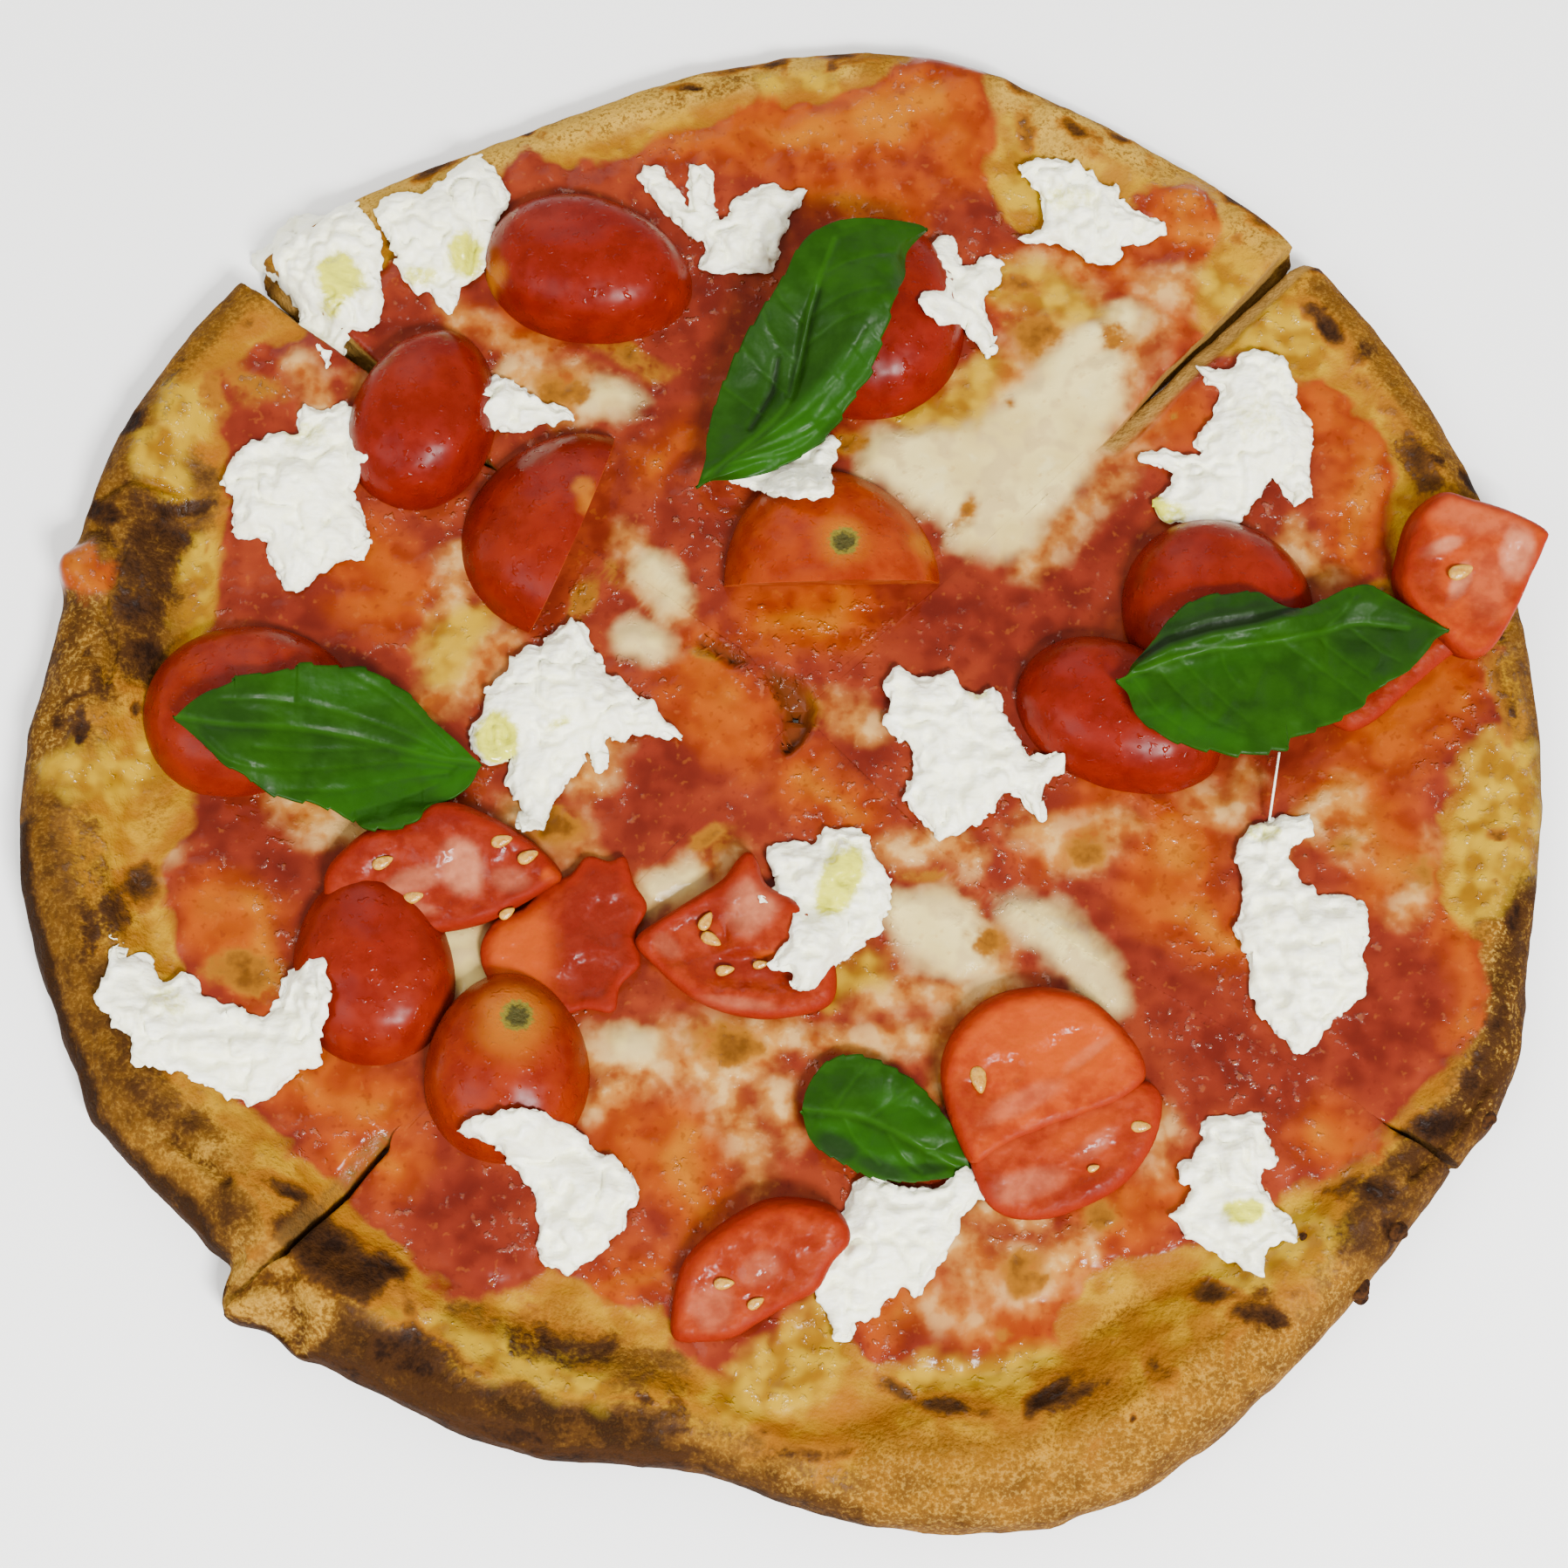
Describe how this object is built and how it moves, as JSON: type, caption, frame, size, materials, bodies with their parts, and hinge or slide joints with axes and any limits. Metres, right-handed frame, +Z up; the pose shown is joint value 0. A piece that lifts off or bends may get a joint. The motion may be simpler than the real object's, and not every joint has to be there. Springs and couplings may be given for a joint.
{
  "type": "margherita pizza",
  "caption": "Thin round margherita pizza in quarters, with a puffed charred rim, tomato sauce, baked and torn fresh mozzarella, halved cherry tomatoes and basil leaves.",
  "frame": {"origin": "on the underside, in the middle of the pizza's bounding box, about 5 mm in front of the point under the crossing of the cuts", "axes": "+Z up from the surface it rests on; +Y away from the viewer of the picture, towards the top edge of the picture; +X to the viewer's right"},
  "size_m": [0.2669, 0.2719, 0.0246],
  "materials": {
    "dough": "baked bread crust, floury and dry, golden with charred blisters",
    "sauce": "wet tomato sauce with oil, baked orange where it is thin",
    "melted_cheese": "baked mozzarella, pale and oily with browned spots",
    "tomato": "wet glossy tomato skin, paler grainy flesh on cut faces",
    "mozzarella": "fresh torn mozzarella, fibrous, damp and white",
    "basil": "fresh oiled basil leaf, deep green with fine veins"
  },
  "bodies": {
    "root": {"basil_1": "basil", "basil_2": "basil", "basil_3": "basil", "basil_4": "basil", "dough_bottom": "dough", "dough_left": "dough", "dough_right": "dough", "dough_top": "dough", "melted_cheese_1": "melted_cheese", "melted_cheese_2": "melted_cheese", "melted_cheese_3": "melted_cheese", "melted_cheese_4": "melted_cheese", "melted_cheese_5": "melted_cheese", "melted_cheese_6": "melted_cheese", "melted_cheese_7": "melted_cheese", "melted_cheese_8": "melted_cheese", "melted_cheese_9": "melted_cheese", "melted_cheese_10": "melted_cheese", "mozzarella_1": "mozzarella", "mozzarella_2": "mozzarella", "mozzarella_3": "mozzarella", "mozzarella_4": "mozzarella", "mozzarella_5": "mozzarella", "mozzarella_6": "mozzarella", "mozzarella_7": "mozzarella", "mozzarella_8": "mozzarella", "mozzarella_9": "mozzarella", "mozzarella_10": "mozzarella", "mozzarella_11": "mozzarella", "mozzarella_12": "mozzarella", "mozzarella_13": "mozzarella", "mozzarella_14": "mozzarella", "mozzarella_15": "mozzarella", "mozzarella_16": "mozzarella", "mozzarella_17": "mozzarella", "sauce_bottom": "sauce", "sauce_left": "sauce", "sauce_right": "sauce", "sauce_top": "sauce", "tomato_1": "tomato", "tomato_2": "tomato", "tomato_3": "tomato", "tomato_4": "tomato", "tomato_5": "tomato", "tomato_6": "tomato", "tomato_7": "tomato", "tomato_8": "tomato", "tomato_9": "tomato", "tomato_10": "tomato", "tomato_11": "tomato", "tomato_12": "tomato", "tomato_13": "tomato", "tomato_14": "tomato", "tomato_15": "tomato", "tomato_16": "tomato", "tomato_17": "tomato", "tomato_18": "tomato"}
  },
  "joints": []
}
